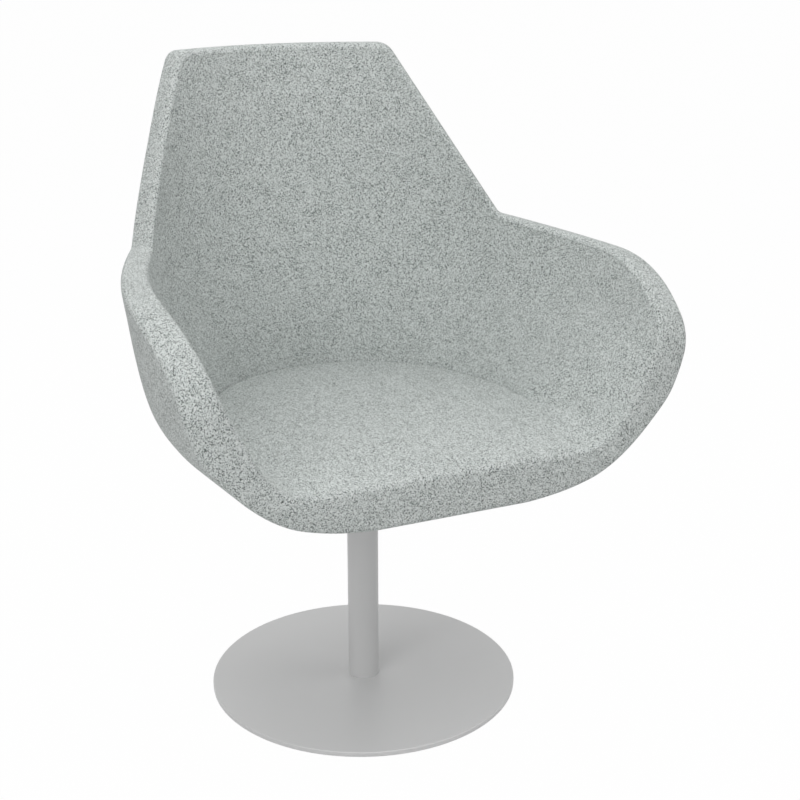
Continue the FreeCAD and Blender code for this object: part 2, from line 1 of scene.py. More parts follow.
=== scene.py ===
import json
import math
import bmesh
import bpy
import numpy as np
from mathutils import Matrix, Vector


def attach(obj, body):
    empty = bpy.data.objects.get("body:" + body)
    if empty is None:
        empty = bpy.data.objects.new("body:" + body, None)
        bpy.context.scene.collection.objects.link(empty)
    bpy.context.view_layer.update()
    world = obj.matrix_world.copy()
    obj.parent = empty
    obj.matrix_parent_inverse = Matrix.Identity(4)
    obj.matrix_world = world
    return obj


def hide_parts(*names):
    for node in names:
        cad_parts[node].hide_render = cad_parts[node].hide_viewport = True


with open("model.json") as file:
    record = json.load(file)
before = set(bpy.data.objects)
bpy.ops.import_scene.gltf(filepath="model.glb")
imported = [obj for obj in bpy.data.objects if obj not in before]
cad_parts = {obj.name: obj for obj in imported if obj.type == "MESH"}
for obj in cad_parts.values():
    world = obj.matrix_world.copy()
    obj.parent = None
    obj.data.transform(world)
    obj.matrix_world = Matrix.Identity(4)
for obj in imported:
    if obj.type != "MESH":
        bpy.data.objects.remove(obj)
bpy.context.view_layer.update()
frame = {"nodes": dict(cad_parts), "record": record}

mm = 0.001
sameHeight = 0.01    # mm within which two heights count as one
print("frame loaded")

# Camera, where the photograph was taken from
cameraSettings = {
    "place": (-0.7891, -1.8049, 1.1030),
    "turn": 25.2,       # degrees from straight ahead, to the right
    "pitch": -18.61,    # degrees, down from the level
    "lens": 66.16,
    "sensor": 36.0,
}


def makeCamera(s):
    camera = bpy.data.objects.new("photoCamera", bpy.data.cameras.new("photoCamera"))
    camera.data.lens = s["lens"]
    camera.data.sensor_width = s["sensor"]
    turn, pitch = math.radians(s["turn"]), math.radians(s["pitch"])
    level = math.cos(pitch)
    look = Vector((math.sin(turn) * level, math.cos(turn) * level, math.sin(pitch)))
    camera.location = s["place"]
    camera.rotation_mode = "QUATERNION"
    camera.rotation_quaternion = look.to_track_quat("-Z", "Y")
    bpy.context.collection.objects.link(camera)
    bpy.context.scene.camera = camera


makeCamera(cameraSettings)
print("camera placed")

# The bucket's form in millimetres. Each row of a wall is a level plan: height, reach of the back,
# radius of the back, half width, and turn-in of the sides towards the front in degrees.
bucket = {
    "underside": 371.0,
    "outside": [
        (371, 120, 138, 135, 5), (375, 170, 185, 178, 6), (383, 207, 212, 214, 6),
        (393, 228, 234, 241, 6), (416, 250, 257, 273, 6), (450, 266, 279, 303, 5.5),
        (500, 279, 298, 334, 5), (560, 288, 310, 350, 4), (605, 292, 318, 355, 3),
        (655, 298, 324, 362, 1.5), (780, 319, 316, 372, 0.5), (920, 344, 349, 387, 0.5)],
    "inside": [
        (410, 211, 211, 221, 0.5), (434, 219, 219, 232, 0.5), (480, 227, 240, 258, 0.5),
        (520, 235, 258, 277, 0.5), (570, 244, 276, 300, 0.5), (610, 251, 284, 310, 0.5),
        (660, 260, 290, 321, 0.5), (780, 281, 284, 332, 0.5), (920, 306, 322, 346, 0.5)],
    "sideTurn": math.radians(65),    # where the back's arc hands over to the side's
    "backPart": 0.42,                # shares of a level's run that end the back's and side's arcs
    "sidePart": 0.62,
    "front": -289.0,
    "armMiddle": 317.0,
    "armRake": 0.0714,               # how far the arm's face falls back per mm outwards
    "armFall": 0.2024,               # and how far its top falls
    "armTop": 656.0,
    "armBendHeight": 545.0,          # the front edge bends from here, first in a short arc
    "armBend": 70.0,
    "armBendAngle": math.radians(50),
    "notch": (269.0, 91.0, 664.0),   # a sloping cut from here to the corner trims the back's side
    "corner": (169.5, 257.0, 892.0),
    "sideAcross": (0.5, 0.8660, -0.25),    # which way the cut runs across the wall
    "backTop": 905.0,
    "backCorner": 28.0,
    "hollow": (0.0, 0.0, 550.0),     # a point in the space that the bucket holds
}


def levelAt(rows, heights):
    # Monotone cubic between the rows, so that the wall has no bumps.
    table = np.array(rows, float)
    z, values = table[:, 0], table[:, 1:]
    gap = np.diff(z)[:, None]
    grade = np.diff(values, axis=0) / gap
    slope = np.vstack([grade[:1], grade])
    before, after = grade[:-1], grade[1:]
    agree = before * after > 0
    safe = np.where(agree, before + after, 1.0)
    slope[1:-1] = np.where(agree, 2 * before * after / safe, 0.0)
    slope[-1] = grade[-1]
    heights = np.clip(np.asarray(heights, float), z[0], z[-1])
    i = np.clip(np.searchsorted(z, heights, side="right") - 1, 0, len(z) - 2)
    step = gap[i, 0]
    t = ((heights - z[i]) / step)[..., None]
    step = step[..., None]
    level = ((2 * t**3 - 3 * t**2 + 1) * values[i] + (t**3 - 2 * t**2 + t) * step * slope[i]
             + (3 * t**2 - 2 * t**3) * values[i + 1] + (t**3 - t**2) * step * slope[i + 1])
    return [level[..., k] for k in range(4)]


def planParts(level):
    # Centres, radii and ends of a plan's arcs.
    reach, back, half, turnIn = level
    turn = bucket["sideTurn"]
    last = np.radians(90.0 + turnIn)
    flank = (half - back * math.sin(turn)) / (1 - math.sin(turn))
    flankX = (back - flank) * math.sin(turn)
    flankY = reach - back + (back - flank) * math.cos(turn)
    return reach - back, last, flank, flankX, flankY, flankY + flank * np.cos(last)


def planPoint(level, share):
    # Share 0 is the middle of the back, and 1 the front of an arm. Also gives the way outwards.
    backY, last, flank, flankX, flankY, endY = planParts(level)
    turn, backPart, sidePart = bucket["sideTurn"], bucket["backPart"], bucket["sidePart"]
    side, run = np.sign(share), np.abs(share)
    onBack = run < backPart
    pastBack = np.clip((run - backPart) / (sidePart - backPart), 0, 1)
    angle = np.where(onBack, turn * run / backPart, turn + (last - turn) * pastBack)
    outX, outY = np.sin(angle), np.cos(angle)
    pastSide = np.clip((run - sidePart) / (1 - sidePart), 0, None)
    ahead = pastSide * (endY - bucket["front"]) / np.sin(last)
    x = np.where(onBack, level[1] * outX, flankX + flank * outX) + ahead * np.cos(last)
    y = np.where(onBack, backY + level[1] * outY, flankY + flank * outY) - ahead * np.sin(last)
    return side * x, y, side * outX, outY


def wallPoint(rows, share, height):
    share, height = np.broadcast_arrays(np.asarray(share, float), np.asarray(height, float))
    x, y, _, _ = planPoint(levelAt(rows, height), share)
    return np.stack([x, y, height], axis=-1)


def shareAt(rows, points):
    # The share of the wall point nearest to each point of the right half.
    backY, last, _, flankX, flankY, endY = planParts(levelAt(rows, points[..., 2]))
    turn, backPart, sidePart = bucket["sideTurn"], bucket["backPart"], bucket["sidePart"]
    x, y = points[..., 0], points[..., 1]
    backAngle = np.arctan2(x, y - backY)
    sideAngle = np.arctan2(x - flankX, y - flankY)
    onSide = backPart + (sidePart - backPart) * (sideAngle - turn) / (last - turn)
    onArm = sidePart + (1 - sidePart) * (endY - y) / (endY - bucket["front"])
    return np.where(backAngle < turn, backPart * backAngle / turn,
                    np.where(sideAngle < last, onSide, onArm))


def wallNormal(rows, share, height, shareStep=0.001, heightStep=0.5):
    along = wallPoint(rows, share - shareStep, height) - wallPoint(rows, share + shareStep, height)
    up = wallPoint(rows, share, height + heightStep) - wallPoint(rows, share, height - heightStep)
    return unit(np.cross(along, up))


def unit(vectors):
    return vectors / np.maximum(np.linalg.norm(vectors, axis=-1, keepdims=True), 1e-9)


def frontAt(x):
    return bucket["front"] + bucket["armRake"] * np.maximum(np.abs(x) - bucket["armMiddle"], 0)


def trimHeight(x, y):
    # Height of the trim line over a point of the right half: the arm's bent top or the back's side.
    b = bucket
    away = x - b["armMiddle"]
    along = y - b["armRake"] * away
    bend, angle = b["armBend"], b["armBendAngle"]
    firstY = b["front"] + bend
    kneeY = firstY - bend * math.cos(angle)
    kneeZ = b["armBendHeight"] + bend * math.sin(angle)
    longBend = (b["armTop"] - kneeZ) / (1 - math.sin(angle))
    secondY = firstY + (longBend - bend) * math.cos(angle)
    firstArc = b["armBendHeight"] + np.sqrt(np.maximum(bend**2 - (along - firstY)**2, 0))
    secondArc = b["armTop"] - longBend + np.sqrt(np.maximum(longBend**2 - (along - secondY)**2, 0))
    arm = np.where(along < kneeY, firstArc, np.where(along < secondY, secondArc, b["armTop"]))
    arm = arm - b["armFall"] * away
    notch, corner, across = (np.array(b[k]) for k in ("notch", "corner", "sideAcross"))
    normal = np.cross(across, corner - notch)
    fallX, fallY = normal[0] / normal[2], normal[1] / normal[2]
    steep = math.hypot(fallX, fallY)
    out = ((x - notch[0]) * fallX + (y - notch[1]) * fallY) / steep
    top, radius, slope = b["backTop"], b["backCorner"], math.atan(steep)
    roundStart = (notch[2] - top) / steep - radius * math.tan(slope / 2)
    roundEnd = roundStart + radius * math.sin(slope)
    arc = top - radius + np.sqrt(np.maximum(radius**2 - (out - roundStart)**2, 0))
    back = np.where(out < roundStart, top, np.where(out < roundEnd, arc, notch[2] - steep * out))
    return np.maximum(arm, back), arm > back, out < roundEnd, out < roundStart


def frontShare(rows, height, passes=4):
    # The share at which a level meets the front plane.
    share = np.ones_like(height)
    for _ in range(passes):
        point = wallPoint(rows, share, height)
        point[..., 1] = frontAt(point[..., 0])
        share = shareAt(rows, point)
    return share


def solve(low, high, above, halvings=40):
    # The value between low and high at which above turns true.
    for _ in range(halvings):
        middle = 0.5 * (low + high)
        over = above(middle)
        low, high = np.where(over, low, middle), np.where(over, middle, high)
    return 0.5 * (low + high)


def evenly(points, count):
    # The same line with evenly spaced points.
    run = np.concatenate([[0], np.cumsum(np.linalg.norm(np.diff(points, axis=0), axis=1))])
    at = np.linspace(0, run[-1], count)
    return np.stack([np.interp(at, run, points[:, k]) for k in range(points.shape[1])], axis=1)


# The padded band along the rim. On each side of the wall it follows a sharp line from the middle of
# the front to the middle of the back.
rim = {
    "outerRound": 8.0,
    "innerRound": 9.0,
    "crown": 1.0,
    "counts": (70, 110, 60, 14, 44),   # points per stretch: front, arm, back's side, corner, top
    "fineFront": 400,          # points that a stretch has before they are spaced evenly
    "fineCorner": 200,
    "fineRest": 6000,
    "crowding": 1.5,           # draws the front edge's points together near its foot
    "frontLimit": 620.0,       # the trim line stays below these, at the front edge and at the back
    "backLimit": 930.0,
    "margin": 5.0,             # the search for it starts this far below its front end
    "nearFlat": 0.6,           # mm over the underside that still count as its flat
    "linePasses": 2,           # rounds of softening, for the lines and for the direction at a seam
    "seamPasses": 3,
    "arcPoints": 8,
    "facePoints": 7,
    "tuck": 0.2,               # the band's hidden corners, as a share of the way from seam to seam
    "depth": 4.5,              # and how far inside the wall they lie
    "sharpAngle": 75,
}

# The seat's cushion
seat = {
    "edge": 434.0,
    "crown": 5.0,
    "crownRun": 140.0,         # how far in from the wall and back from the front the crown grows
    "crownAhead": 120.0,
    "frontDrop": 2.0,
    "dropRun": 50.0,
    "filletUp": 46.0,          # the front corners run up the arm and in over the seat
    "filletIn": 42.0,
    "filletPull": 0.25,
    "creaseIn": 30.0,
    "creaseDeep": 14.0,
    "creasePulls": ((0.4, -2.0), (4.0, 0.0)),    # inset and rise of its curve's two handles
    "blendFrom": -40.0,        # the crease opens into the corner's fillet between these two
    "blendTo": -240.0,
    "underside": 410.0,
    "edgeRows": 18,
    "seatRows": 36,
    "middleGap": 4.0,          # the last row stops this far short of the middle of the back's arc
    "footAcross": 0.94,        # the hidden underside is a little smaller, so that no side pokes out
    "footAlong": 0.96,
    "footBack": 4.0,
    "sharpAngle": 60,
}


def ease(t):
    t = np.clip(t, 0, 1)
    return t * t * (3 - 2 * t)


def seatHeight(inset, y):
    # Height of the seat over its edge: crowned in the middle, and lower towards the front edge.
    ahead = y - bucket["front"]
    return (seat["crown"] * ease(inset / seat["crownRun"]) * ease(ahead / seat["crownAhead"])
            - seat["frontDrop"] * (1 - ease(ahead / seat["dropRun"])))


def seatEdge(share, t):
    # The seat's surface from the wall inwards: t runs from 0 at the wall to 1 on the seat.
    level = levelAt(bucket["inside"], np.full_like(share, seat["edge"]))
    x, y, outX, outY = planPoint(level, share)
    blend = ease((seat["blendFrom"] - y) / (seat["blendFrom"] - seat["blendTo"]))
    up = -seat["creaseDeep"] + blend * (seat["filletUp"] + seat["creaseDeep"])
    wall = wallPoint(bucket["inside"], share, seat["edge"] + up)
    awayX, awayY = wall[..., 0] - x, wall[..., 1] - y
    lean = awayX * outX + awayY * outY
    crease = [(-lean, up), *seat["creasePulls"], (seat["creaseIn"], 0.0)]
    pull, run = seat["filletPull"], seat["filletIn"]
    fillet = [(-lean, up), (-pull * lean, pull * up), (pull * run, 0.0), (run, 0.0)]
    inset, rise = 0.0, 0.0
    for k, weight in enumerate(((1 - t)**3, 3 * t * (1 - t)**2, 3 * t**2 * (1 - t), t**3)):
        inset = inset + weight * ((1 - blend) * crease[k][0] + blend * fillet[k][0])
        rise = rise + weight * ((1 - blend) * crease[k][1] + blend * fillet[k][1])
    slip = (1 - t)**2    # the wall's own columns drift a little along it with height
    x = x + slip * (awayX - lean * outX)
    y = y + slip * (awayY - lean * outY)
    height = seat["edge"] + rise + t * t * seatHeight(inset, y)
    return np.stack([x - inset * outX, y - inset * outY, height], axis=-1), up


def outerLine():
    # Along the underside's front edge, round its corner, and on up the arm.
    rows = bucket["outside"]
    low = bucket["underside"]
    cornerX = wallPoint(rows, frontShare(rows, np.array([low])), np.array([low]))[0, 0]
    x = np.linspace(0, cornerX, rim["fineCorner"])
    front = np.stack([x, np.full_like(x, bucket["front"]), np.full_like(x, low)], axis=1)
    return restOfLine(rows, front, low)


def innerLine():
    # Over the seat's front edge, up the corner's fillet, and on up the arm.
    t = np.linspace(1, 0, rim["fineCorner"])
    fillet, _ = seatEdge(np.ones_like(t), t)
    x = np.linspace(0, fillet[0, 0], rim["fineCorner"] // 2)[:-1]
    front = np.stack([x, np.full_like(x, bucket["front"]), np.full_like(x, fillet[0, 2])], axis=1)
    return restOfLine(bucket["inside"], np.vstack([front, fillet]), fillet[-1, 2])


def restOfLine(rows, start, low):
    # Up the front edge to the trim line, and along that to the middle of the back.
    def overTrim(share, height):
        point = wallPoint(rows, share, height)
        return height > trimHeight(point[..., 0], point[..., 1])[0]

    top = solve(np.array([low]), np.array([rim["frontLimit"]]),
                lambda height: overTrim(frontShare(rows, height), height))[0]
    height = low + (top - low) * np.linspace(0, 1, rim["fineFront"])**rim["crowding"]
    front = np.vstack([start[:-1], wallPoint(rows, frontShare(rows, height), height)])
    first = frontShare(rows, np.array([top]))[0]
    share = first * np.cos(np.linspace(0, math.pi / 2, rim["fineRest"]))
    share[0] = first * (1 - 1e-7)    # just behind the front plane
    z = solve(np.full_like(share, top - rim["margin"]), np.full_like(share, rim["backLimit"]),
              lambda height: overTrim(share, height))
    rest = wallPoint(rows, share, z)
    _, onArm, pastEnd, pastStart = trimHeight(rest[:, 0], rest[:, 1])
    side = np.argmin(onArm)
    corner, flat = np.argmax(pastEnd & ~onArm), np.argmax(pastStart & ~onArm)
    pieces = [front, rest[:side + 1], rest[side:corner + 1], rest[corner:flat + 1], rest[flat:]]
    pieces[1][0] = front[-1]
    line = [evenly(piece, count) for piece, count in zip(pieces, rim["counts"])]
    return np.vstack([line[0]] + [piece[1:] for piece in line[1:]])


def soften(points, passes):
    for _ in range(passes):
        points[1:-1] = 0.5 * points[1:-1] + 0.25 * (points[:-2] + points[2:])
    return points


def tangents(points):
    mirrored = points * (-1, 1, 1)
    whole = np.vstack([mirrored[1:2], points, mirrored[-2:-1]])
    return unit(whole[2:] - whole[:-2])


outer = soften(outerLine(), rim["linePasses"])
inner = soften(innerLine(), rim["linePasses"])
print("rim lines:", len(outer), "points outside,", len(inner), "inside")


def seatSeam(line, distance):
    # The seam along the front lies on the seat's own surface.
    rows = bucket["inside"]
    frontY = bucket["front"] + distance
    halfWidth = float(levelAt(rows, seat["edge"])[2])
    share = shareAt(rows, np.array([halfWidth, frontY, seat["edge"]]))
    t = np.linspace(1, 0, rim["fineFront"])
    edge, _ = seatEdge(np.ones_like(t), t)
    behind, _ = seatEdge(np.full_like(t, share), t)
    gauge, at = edge[:, 0] + edge[:, 2], line[:, 0] + line[:, 2]
    x, z = (np.interp(at, gauge, behind[:, k]) for k in (0, 2))
    level = at < gauge[0]
    wallX = edge[0, 0] + seat["filletIn"]
    z = np.where(level, seat["edge"] + seatHeight(wallX - line[:, 0], frontY), z)
    return np.stack([np.where(level, line[:, 0], x), np.full_like(x, frontY), z], axis=1)


def seamLine(rows, line, distance, sign):
    # Where the rim's rounding ends on the wall, and the direction across the wall at each point.
    # The sign is 1 outside and -1 inside. Along the front the line runs off the wall.
    flatTop = bucket["underside"] + rim["nearFlat"] if sign > 0 else seat["edge"] + seat["filletUp"]
    flat = line[:, 2] < flatTop
    normal = wallNormal(rows, shareAt(rows, line), line[:, 2]) * sign
    if sign > 0:
        normal[flat] = (0, 0, -1)
    inwards = unit(np.cross(tangents(line), normal)) * sign
    if sign < 0:
        inwards[flat] = (0, 1, 0)
    inwards = unit(soften(inwards, rim["seamPasses"]))
    seam = line + distance * inwards
    onWall = wallPoint(rows, shareAt(rows, seam), seam[:, 2])
    offWall = seam if sign > 0 else seatSeam(line, distance)
    seam = np.where(flat[:, None], offWall, onWall)
    return seam, unit(seam - line)


def bezier(start, corner, end, count):
    # A round between two straight runs of equal length.
    first, last = unit(start - corner), unit(end - corner)
    turn = math.pi - np.arccos(np.clip(np.sum(first * last, axis=-1), -1, 1))
    pull = (4 / 3 * np.tan(turn / 4) / np.tan(turn / 2))[:, None]
    a, b = start + (corner - start) * pull, end + (corner - end) * pull
    return [start * (1 - t)**3 + 3 * a * t * (1 - t)**2 + 3 * b * t * t * (1 - t) + end * t**3
            for t in np.linspace(0, 1, count)]


outerSeam, outerIn = seamLine(bucket["outside"], outer, rim["outerRound"], 1)
innerSeam, innerIn = seamLine(bucket["inside"], inner, rim["innerRound"], -1)


def bandSection():
    # Points across the rim, from the outer seam over the edge and the face to the inner seam.
    def faceStart(line, other, distance):
        along, across = tangents(line), other - line
        sideways = across - along * np.sum(across * along, axis=1, keepdims=True)
        return line + distance * unit(sideways)

    outerFace = faceStart(outer, inner, rim["outerRound"])
    innerFace = faceStart(inner, outer, rim["innerRound"])
    inwards = unit(outerIn + innerIn)
    section = bezier(outerSeam, outer, outerFace, rim["arcPoints"])
    for t in np.linspace(0, 1, rim["facePoints"] + 2)[1:-1]:
        bulge = rim["crown"] * math.sin(math.pi * t)**2
        section.append(outerFace * (1 - t) + innerFace * t - inwards * bulge)
    section += bezier(innerFace, inner, innerSeam, rim["arcPoints"])
    for t in (1 - rim["tuck"], rim["tuck"]):
        section.append(innerSeam * t + outerSeam * (1 - t) + rim["depth"] * inwards)
    return np.stack(section, axis=1)


def newPiece(name, vertices, faces, places):
    # places says where the corners of every face lie on the flat cloth, in millimetres.
    mesh = bpy.data.meshes.new(name)
    mesh.from_pydata((np.asarray(vertices) * mm).tolist(), [], faces)
    corners = np.array([corner for face in places for corner in face])
    mesh.uv_layers.new(name="cloth").data.foreach_set("uv", corners.ravel() * mm)
    piece = bpy.data.objects.new(name, mesh)
    bpy.context.collection.objects.link(piece)
    form = bmesh.new()
    form.from_mesh(mesh)
    bmesh.ops.remove_doubles(form, verts=form.verts, dist=0.02 * mm)
    bmesh.ops.recalc_face_normals(form, faces=form.faces)
    form.to_mesh(mesh)
    form.free()
    return piece


def shade(piece, sharpAngle):
    piece.data.shade_smooth()
    piece.data.set_sharp_from_angle(angle=math.radians(sharpAngle))
    return piece


def runAlong(line):
    # How far along a line each of its points lies.
    return np.concatenate([[0], np.cumsum(np.linalg.norm(np.diff(line, axis=0), axis=1))])


cloth = {
    "sideShare": 0.5,       # the cloth's run up a wall is measured here, at the side
    "insideLevel": 560.0,   # and its run round the wall at these heights
    "outsideLevel": 520.0,
    "lastShare": 1.1,       # a little past the front plane
    "shareSteps": 400,
    "heightSteps": 800,
}


def clothOnWall(rows, share, height, level):
    # Where the right half's points lie on the cloth: their run round the wall, and up it.
    shares = np.linspace(0, cloth["lastShare"], cloth["shareSteps"])
    heights = np.linspace(rows[0][0], rows[-1][0], cloth["heightSteps"])
    around = np.interp(share, shares, runAlong(wallPoint(rows, shares, level)))
    up = np.interp(height, heights, runAlong(wallPoint(rows, cloth["sideShare"], heights)))
    return np.stack(np.broadcast_arrays(around, up, 0.0), axis=-1)


def gridFaces(grid, runs, first=0):
    # Faces of a grid of points, and where their corners lie on the cloth. Where the runs have a row
    # or a column more than the points, the grid closes on itself.
    rowCount, columnCount = grid.shape[:2]
    faces, places = [], []
    for i in range(runs.shape[0] - 1):
        for j in range(runs.shape[1] - 1):
            a, b, c, d = i, (i + 1) % rowCount, j, (j + 1) % columnCount
            corners = ((a, c), (b, c), (b, d), (a, d))
            faces.append([first + row * columnCount + column for row, column in corners])
            places.append([runs[i, j], runs[i + 1, j], runs[i + 1, j + 1], runs[i, j + 1]])
    return faces, places


def thicken(piece, depth, showsInwards):
    # Gives a sheet its padding, on the side that doesn't show.
    form = bmesh.new()
    form.from_mesh(piece.data)
    place = form.loops.layers.uv.active
    hollow = Vector(bucket["hollow"]) * mm
    facing = sum(face.normal.dot(hollow - face.calc_center_median()) * face.calc_area()
                 for face in form.faces)
    if (facing > 0) != showsInwards:
        bmesh.ops.reverse_faces(form, faces=form.faces)
    form.normal_update()
    back = {vertex: form.verts.new(vertex.co - vertex.normal * depth * mm)
            for vertex in list(form.verts)}
    faces, brim = list(form.faces), [edge for edge in form.edges if edge.is_boundary]
    for face in faces:
        behind = form.faces.new([back[vertex] for vertex in reversed(face.verts)])
        for shown, hidden in zip(reversed(face.loops), behind.loops):
            hidden[place].uv = shown[place].uv
    for edge in brim:
        loop = edge.link_loops[0]
        a, b = loop.vert, loop.link_loop_next.vert
        side = form.faces.new((b, a, back[a], back[b]))
        start, end = loop[place].uv.copy(), loop.link_loop_next[place].uv.copy()
        fold = Vector((0, depth * mm))
        for corner, spot in zip(side.loops, (end, start, start + fold, end + fold)):
            corner[place].uv = spot
    form.to_mesh(piece.data)
    form.free()


def makeRimBand():
    section = bandSection()
    mirrored = section[1:-1][::-1] * (-1, 1, 1)
    loop = np.vstack([section, mirrored])
    around = np.concatenate([loop, loop[:1]])
    around = np.concatenate([around, around[:, :1]], axis=1)
    along = runAlong(around[:, rim["arcPoints"] + rim["facePoints"] // 2])
    across = np.stack([runAlong(ring) for ring in around])
    runs = np.stack(np.broadcast_arrays(across, along[:, None]), axis=-1)
    faces, places = gridFaces(loop, runs)
    return shade(newPiece("rimBand", loop.reshape(-1, 3), faces, places), rim["sharpAngle"])


def wallColumns(rows, seam, lowest):
    # Columns of a panel, from its lower edge up to the seam on the arm and back. Gives each one's
    # share of the way round, its top, and the share of the panel's front edge at a height.
    frontCount = rim["counts"][0]
    share, height = shareAt(rows, seam), seam[:, 2]
    edgeHeight, edgeShare = height[:frontCount], share[:frontCount]
    rising = np.maximum.accumulate(edgeHeight)
    keep = edgeHeight > lowest(edgeShare) + sameHeight    # not what runs along the lower edge

    def edgeAt(z):
        return np.interp(z, rising[keep], edgeShare[keep])

    top = height[frontCount - 1:]
    part = share[frontCount - 1:] / edgeAt(top)
    part[0] = 1.0
    return part, top, edgeAt


def foldHeight(share):
    # Where the wall meets the seat: low in the crease, and up the arm at the front corners.
    _, up = seatEdge(np.asarray(share, float), np.zeros(len(share)))
    return seat["edge"] + up


def bothSides(right):
    return np.concatenate([right, right[:, :-1][:, ::-1] * (-1, 1, 1)], axis=1)


insideColumns = wallColumns(bucket["inside"], innerSeam, foldHeight)
insideShare = insideColumns[0] * insideColumns[2](seat["edge"])
inside = {
    "rows": 60,
    "depth": 6.0,
    "sharpAngle": 50,
}


def makeInsidePanel():
    part, top, edgeAt = insideColumns
    low = foldHeight(insideShare)
    z = low + (top - low) * np.linspace(0, 1, inside["rows"])[:, None]
    share = part * edgeAt(z)
    both = bothSides(wallPoint(bucket["inside"], share, z))
    spread = bothSides(clothOnWall(bucket["inside"], share, z, cloth["insideLevel"]))
    faces, places = gridFaces(both, spread[..., :2])
    piece = newPiece("insidePanel", both.reshape(-1, 3), faces, places)
    thicken(piece, inside["depth"], True)
    return shade(piece, inside["sharpAngle"])


outside = {
    "rows": 90,
    "crowding": 1.7,    # draws the rows together near the underside, where the wall bends most
    "turnRow": 24,      # below this row the cloth runs on from the underside, above it up the wall
    "rings": 10,
    "hole": 98.0,       # radius of the hole in the underside, under the trim ring
    "depth": 6.0,
    "sharpAngle": 50,
}


def makeOutsidePanel():
    rows, low = bucket["outside"], bucket["underside"]
    part, top, edgeAt = wallColumns(rows, outerSeam, lambda share: np.full(len(share), low))
    z = low + (top - low) * np.linspace(0, 1, outside["rows"])[:, None]**outside["crowding"]
    share = part * edgeAt(z)
    both = bothSides(wallPoint(rows, share, z))
    spread = bothSides(clothOnWall(rows, share, z, cloth["outsideLevel"]))
    turn = outside["turnRow"]
    faces, places = gridFaces(both[:turn + 1], both[:turn + 1, :, :2])
    wallFaces, wallPlaces = gridFaces(both[turn:], spread[turn:, :, :2], turn * both.shape[1])
    # The underside, in rings from the lower edge and the front edge in to the hole
    brim = both[0]
    ahead = outerSeam[:rim["counts"][0]]
    ahead = ahead[ahead[:, 2] < low + sameHeight]
    across = np.linspace(brim[-1, 0], brim[0, 0], 2 * len(ahead))[1:-1]
    frontRow = np.stack([across, np.full_like(across, brim[0, 1]), np.full_like(across, low)], 1)
    loop = np.vstack([brim, frontRow])
    ring = unit(loop * (1, 1, 0)) * outside["hole"] + (0, 0, low)
    under = np.stack([loop * (1 - t) + ring * t for t in np.linspace(0, 1, outside["rings"])])
    flat = np.concatenate([under, under[:, :1]], axis=1)[..., :2]
    underFaces, underPlaces = gridFaces(under, flat, both.shape[0] * both.shape[1])
    vertices = np.vstack([both.reshape(-1, 3), under.reshape(-1, 3)])
    piece = newPiece("outsidePanel", vertices, faces + wallFaces + underFaces,
                     places + wallPlaces + underPlaces)
    thicken(piece, outside["depth"], False)
    return shade(piece, outside["sharpAngle"])


def makeSeatPad():
    # Rows run in from the wall, and columns run round it from one front corner to the other.
    frontY = bucket["front"] + rim["innerRound"]
    share = insideShare
    grid = [seatEdge(share, np.full_like(share, t))[0] for t in np.linspace(0, 1, seat["edgeRows"])]
    level = levelAt(bucket["inside"], np.full_like(share, seat["edge"]))
    x, y, outX, outY = planPoint(level, share)
    firstInset = (x - grid[-1][:, 0]) * outX + (y - grid[-1][:, 1]) * outY
    deepest = level[0] - seat["middleGap"]
    for t in np.linspace(0, 1, seat["seatRows"])[1:]:
        inset = firstInset + (deepest - firstInset) * t
        px, py = x - inset * outX, y - inset * outY
        grid.append(np.stack([px, py, seat["edge"] + seatHeight(inset, py)], axis=1))
    grid = bothSides(np.stack(grid))
    grid[..., 1] = np.maximum(grid[..., 1], frontY)
    grid[:, (0, -1), 1] = frontY
    # The cloth lies flat on the seat, and runs on from there up the edge.
    sheet = grid[..., :2].copy()
    foot = seat["edgeRows"] - 1
    steps = np.linalg.norm(np.diff(grid[:foot + 1], axis=0), axis=2)
    climb = np.cumsum(steps[::-1], axis=0)[::-1]
    sheet[:foot] = sheet[foot] + climb[..., None] * unit(sheet[0] - sheet[foot])
    faces, places = gridFaces(grid, sheet)
    # The last row is sewn to its own mirror image.
    rowCount, columnCount = grid.shape[:2]
    first = (rowCount - 1) * columnCount
    for j in range(columnCount // 2):
        across = sorted({j, j + 1, columnCount - 2 - j, columnCount - 1 - j})
        faces.append([first + k for k in across])
        places.append([sheet[-1, k] for k in across])
    piece = newPiece("seatPad", grid.reshape(-1, 3), faces, places)
    form = bmesh.new()
    form.from_mesh(piece.data)
    made = bmesh.ops.extrude_face_region(form, geom=form.faces[:], use_keep_orig=True)
    start = frontY * mm
    for vertex in made["geom"]:
        if isinstance(vertex, bmesh.types.BMVert):
            vertex.co.x *= seat["footAcross"]
            vertex.co.y = start + (vertex.co.y - start) * seat["footAlong"] + seat["footBack"] * mm
            vertex.co.z = seat["underside"] * mm
    bmesh.ops.recalc_face_normals(form, faces=form.faces)
    form.to_mesh(piece.data)
    form.free()
    return shade(piece, seat["sharpAngle"])


rimBand = makeRimBand()
insidePanel = makeInsidePanel()
outsidePanel = makeOutsidePanel()
seatPad = makeSeatPad()
print("bucket pieces made")

stands = {
    rimBand: ("border",),
    insidePanel: ("inside_cover", "inner_foam"),
    outsidePanel: ("outside_cover", "outer_foam"),
    seatPad: ("seat_cover", "seat_foam"),
}
for piece, nodes in stands.items():
    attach(piece, "seat")
    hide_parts(*nodes)

# Materials. A pixel of the photograph covers about 1.4 mm of the chair.


def linear(code):
    # sRGB hex to the linear colour that Blender works in
    parts = [int(code[i:i + 2], 16) / 255 for i in (1, 3, 5)]
    return [c / 12.92 if c < 0.04045 else ((c + 0.055) / 1.055)**2.4 for c in parts] + [1.0]


